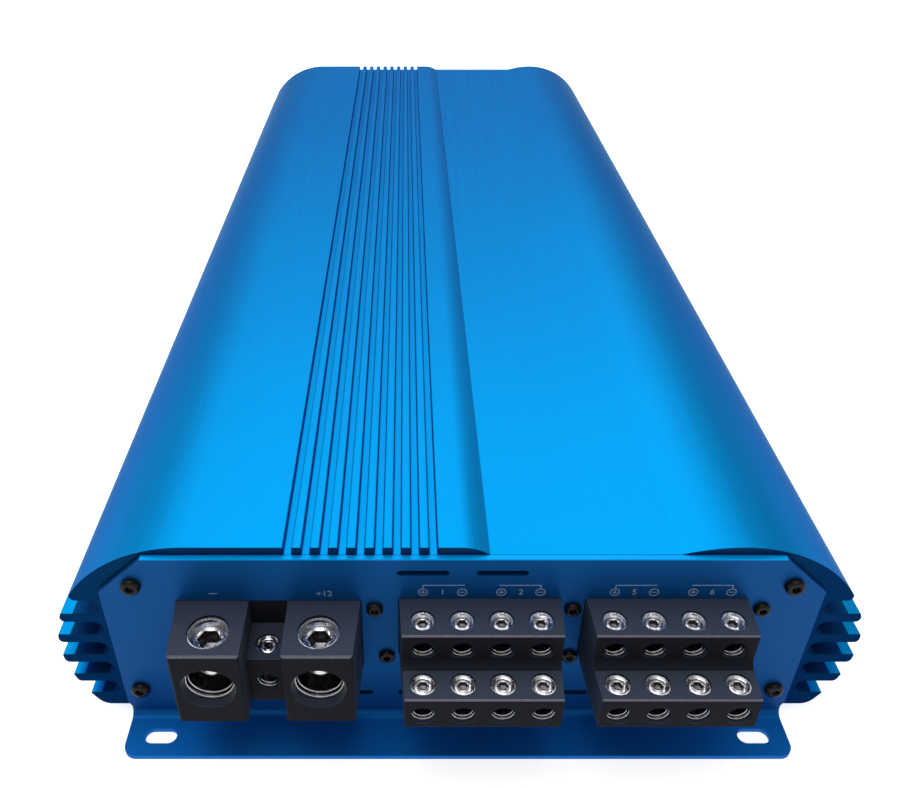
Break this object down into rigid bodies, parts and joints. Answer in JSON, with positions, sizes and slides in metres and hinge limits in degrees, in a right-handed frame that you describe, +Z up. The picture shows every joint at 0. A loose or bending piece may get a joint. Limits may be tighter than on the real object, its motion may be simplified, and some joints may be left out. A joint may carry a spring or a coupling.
{
  "type": "car audio amplifier",
  "caption": "Long finned car audio amplifier: extruded heatsink with ribbed deck, slotted mounting flanges, stepped screw terminals at one end, input sockets and adjusters at the other.",
  "frame": {"origin": "on the mounting plane, at the centre of the four mounting slots", "axes": "+Y along the extrusion from the terminal end to the input end, +Z up from the mounting plane, +X to the right when facing the terminal end"},
  "size_m": [0.2164, 0.5038, 0.0648],
  "materials": {
    "anodised_extrusion": "blue anodised, brushed lengthwise",
    "anodised_plate": "blue anodised sheet, satin",
    "cover_sheet": "black powder coat",
    "terminal_plastic": "matt black moulding",
    "socket_plastic": "black moulding",
    "control_plastic": "dark grey moulding",
    "black_oxide_screw": "black oxide",
    "chrome_screw": "bright nickel plate",
    "nickel_clamp": "bright nickel plate",
    "socket_metal": "nickel plate",
    "socket_insert": "white or red insert",
    "circuit_board": "green solder mask",
    "transistor_epoxy": "moulded epoxy",
    "plain_steel": "zinc plate",
    "capacitor_sleeve": "shrink sleeve",
    "copper_winding": "enamelled copper",
    "lamp_lens": "tinted lens"
  },
  "bodies": {
    "amplifier": {"bottom_cover": "cover_sheet", "bottom_cover_screws": "black_oxide_screw", "clamp_bar_screws": "plain_steel", "filter_capacitors": "capacitor_sleeve", "front_end_plate": "anodised_plate", "front_plate_screws": "black_oxide_screw", "ground_clamp": "nickel_clamp", "heatsink_extrusion": "anodised_extrusion", "input_circuit_board": "circuit_board", "main_circuit_board": "circuit_board", "output_inductors": "copper_winding", "positive_clamp": "nickel_clamp", "potentiometer_bodies": "socket_plastic", "power_terminal_housing": "terminal_plastic", "power_transistors": "transistor_epoxy", "rca_housings": "socket_plastic", "rca_inserts": "socket_insert", "rca_sleeves": "socket_metal", "rear_end_plate": "anodised_plate", "rear_plate_screws": "black_oxide_screw", "remote_clamp": "nickel_clamp", "remote_level_socket": "socket_plastic", "slide_switch_bodies": "socket_plastic", "speaker_clamps_left": "nickel_clamp", "speaker_clamps_right": "nickel_clamp", "speaker_housing_left": "terminal_plastic", "speaker_housing_right": "terminal_plastic", "status_leds": "lamp_lens", "terminal_retaining_screws": "black_oxide_screw", "toroid_transformers": "copper_winding", "transistor_clamp_bars": "plain_steel"},
    "crossover_knob_1_body": {"crossover_knob_1": "control_plastic"},
    "crossover_knob_2_body": {"crossover_knob_2": "control_plastic"},
    "filter_switch_1_body": {"filter_switch_1": "control_plastic"},
    "filter_switch_2_body": {"filter_switch_2": "control_plastic"},
    "gain_knob_1_body": {"gain_knob_1": "control_plastic"},
    "gain_knob_2_body": {"gain_knob_2": "control_plastic"},
    "gain_knob_3_body": {"gain_knob_3": "control_plastic"},
    "gain_knob_4_body": {"gain_knob_4": "control_plastic"},
    "ground_clamp_screw_body": {"ground_clamp_screw": "chrome_screw"},
    "input_mode_switch_body": {"input_mode_switch": "control_plastic"},
    "positive_clamp_screw_body": {"positive_clamp_screw": "chrome_screw"},
    "remote_clamp_screw_body": {"remote_clamp_screw": "chrome_screw"},
    "speaker_screw_left_1_body": {"speaker_screw_left_1": "chrome_screw"},
    "speaker_screw_left_2_body": {"speaker_screw_left_2": "chrome_screw"},
    "speaker_screw_left_3_body": {"speaker_screw_left_3": "chrome_screw"},
    "speaker_screw_left_4_body": {"speaker_screw_left_4": "chrome_screw"},
    "speaker_screw_left_5_body": {"speaker_screw_left_5": "chrome_screw"},
    "speaker_screw_left_6_body": {"speaker_screw_left_6": "chrome_screw"},
    "speaker_screw_left_7_body": {"speaker_screw_left_7": "chrome_screw"},
    "speaker_screw_left_8_body": {"speaker_screw_left_8": "chrome_screw"},
    "speaker_screw_right_1_body": {"speaker_screw_right_1": "chrome_screw"},
    "speaker_screw_right_2_body": {"speaker_screw_right_2": "chrome_screw"},
    "speaker_screw_right_3_body": {"speaker_screw_right_3": "chrome_screw"},
    "speaker_screw_right_4_body": {"speaker_screw_right_4": "chrome_screw"},
    "speaker_screw_right_5_body": {"speaker_screw_right_5": "chrome_screw"},
    "speaker_screw_right_6_body": {"speaker_screw_right_6": "chrome_screw"},
    "speaker_screw_right_7_body": {"speaker_screw_right_7": "chrome_screw"},
    "speaker_screw_right_8_body": {"speaker_screw_right_8": "chrome_screw"}
  },
  "joints": [
    {"name": "crossover_knob_1_turn", "type": "hinge", "parent": "amplifier", "child": "crossover_knob_1_body", "pos_m": [0.004, 0.232, 0.029], "axis": [0, 1, 0], "range_deg": [-150, 150]},
    {"name": "crossover_knob_2_turn", "type": "hinge", "parent": "amplifier", "child": "crossover_knob_2_body", "pos_m": [-0.028, 0.232, 0.029], "axis": [0, 1, 0], "range_deg": [-150, 150]},
    {"name": "filter_switch_1_slide", "type": "slide", "parent": "amplifier", "child": "filter_switch_1_body", "axis": [1, 0, 0], "range_m": [-0.0015, 0.0015]},
    {"name": "filter_switch_2_slide", "type": "slide", "parent": "amplifier", "child": "filter_switch_2_body", "axis": [1, 0, 0], "range_m": [-0.0015, 0.0015]},
    {"name": "gain_knob_1_turn", "type": "hinge", "parent": "amplifier", "child": "gain_knob_1_body", "pos_m": [0.004, 0.232, 0.046], "axis": [0, 1, 0], "range_deg": [-150, 150]},
    {"name": "gain_knob_2_turn", "type": "hinge", "parent": "amplifier", "child": "gain_knob_2_body", "pos_m": [-0.012, 0.232, 0.046], "axis": [0, 1, 0], "range_deg": [-150, 150]},
    {"name": "gain_knob_3_turn", "type": "hinge", "parent": "amplifier", "child": "gain_knob_3_body", "pos_m": [-0.028, 0.232, 0.046], "axis": [0, 1, 0], "range_deg": [-150, 150]},
    {"name": "gain_knob_4_turn", "type": "hinge", "parent": "amplifier", "child": "gain_knob_4_body", "pos_m": [-0.044, 0.232, 0.046], "axis": [0, 1, 0], "range_deg": [-150, 150]},
    {"name": "ground_clamp_screw_travel", "type": "slide", "parent": "amplifier", "child": "ground_clamp_screw_body", "axis": [0, 0, 1], "range_m": [-0.0044, 0.0072]},
    {"name": "input_mode_switch_slide", "type": "slide", "parent": "amplifier", "child": "input_mode_switch_body", "axis": [1, 0, 0], "range_m": [-0.0015, 0.0015]},
    {"name": "positive_clamp_screw_travel", "type": "slide", "parent": "amplifier", "child": "positive_clamp_screw_body", "axis": [0, 0, 1], "range_m": [-0.0044, 0.0072]},
    {"name": "remote_clamp_screw_travel", "type": "slide", "parent": "amplifier", "child": "remote_clamp_screw_body", "axis": [0, 0, 1], "range_m": [-0.0043, 0.0007]},
    {"name": "speaker_screw_left_1_travel", "type": "slide", "parent": "amplifier", "child": "speaker_screw_left_1_body", "axis": [0, 0, 1], "range_m": [-0.0042, 0.0008]},
    {"name": "speaker_screw_left_2_travel", "type": "slide", "parent": "amplifier", "child": "speaker_screw_left_2_body", "axis": [0, 0, 1], "range_m": [-0.0042, 0.0008]},
    {"name": "speaker_screw_left_3_travel", "type": "slide", "parent": "amplifier", "child": "speaker_screw_left_3_body", "axis": [0, 0, 1], "range_m": [-0.0042, 0.0008]},
    {"name": "speaker_screw_left_4_travel", "type": "slide", "parent": "amplifier", "child": "speaker_screw_left_4_body", "axis": [0, 0, 1], "range_m": [-0.0042, 0.0008]},
    {"name": "speaker_screw_left_5_travel", "type": "slide", "parent": "amplifier", "child": "speaker_screw_left_5_body", "axis": [0, 0, 1], "range_m": [-0.0033, 0.0017]},
    {"name": "speaker_screw_left_6_travel", "type": "slide", "parent": "amplifier", "child": "speaker_screw_left_6_body", "axis": [0, 0, 1], "range_m": [-0.0033, 0.0017]},
    {"name": "speaker_screw_left_7_travel", "type": "slide", "parent": "amplifier", "child": "speaker_screw_left_7_body", "axis": [0, 0, 1], "range_m": [-0.0033, 0.0017]},
    {"name": "speaker_screw_left_8_travel", "type": "slide", "parent": "amplifier", "child": "speaker_screw_left_8_body", "axis": [0, 0, 1], "range_m": [-0.0033, 0.0017]},
    {"name": "speaker_screw_right_1_travel", "type": "slide", "parent": "amplifier", "child": "speaker_screw_right_1_body", "axis": [0, 0, 1], "range_m": [-0.0042, 0.0008]},
    {"name": "speaker_screw_right_2_travel", "type": "slide", "parent": "amplifier", "child": "speaker_screw_right_2_body", "axis": [0, 0, 1], "range_m": [-0.0042, 0.0008]},
    {"name": "speaker_screw_right_3_travel", "type": "slide", "parent": "amplifier", "child": "speaker_screw_right_3_body", "axis": [0, 0, 1], "range_m": [-0.0042, 0.0008]},
    {"name": "speaker_screw_right_4_travel", "type": "slide", "parent": "amplifier", "child": "speaker_screw_right_4_body", "axis": [0, 0, 1], "range_m": [-0.0042, 0.0008]},
    {"name": "speaker_screw_right_5_travel", "type": "slide", "parent": "amplifier", "child": "speaker_screw_right_5_body", "axis": [0, 0, 1], "range_m": [-0.0033, 0.0017]},
    {"name": "speaker_screw_right_6_travel", "type": "slide", "parent": "amplifier", "child": "speaker_screw_right_6_body", "axis": [0, 0, 1], "range_m": [-0.0033, 0.0017]},
    {"name": "speaker_screw_right_7_travel", "type": "slide", "parent": "amplifier", "child": "speaker_screw_right_7_body", "axis": [0, 0, 1], "range_m": [-0.0033, 0.0017]},
    {"name": "speaker_screw_right_8_travel", "type": "slide", "parent": "amplifier", "child": "speaker_screw_right_8_body", "axis": [0, 0, 1], "range_m": [-0.0033, 0.0017]}
  ]
}
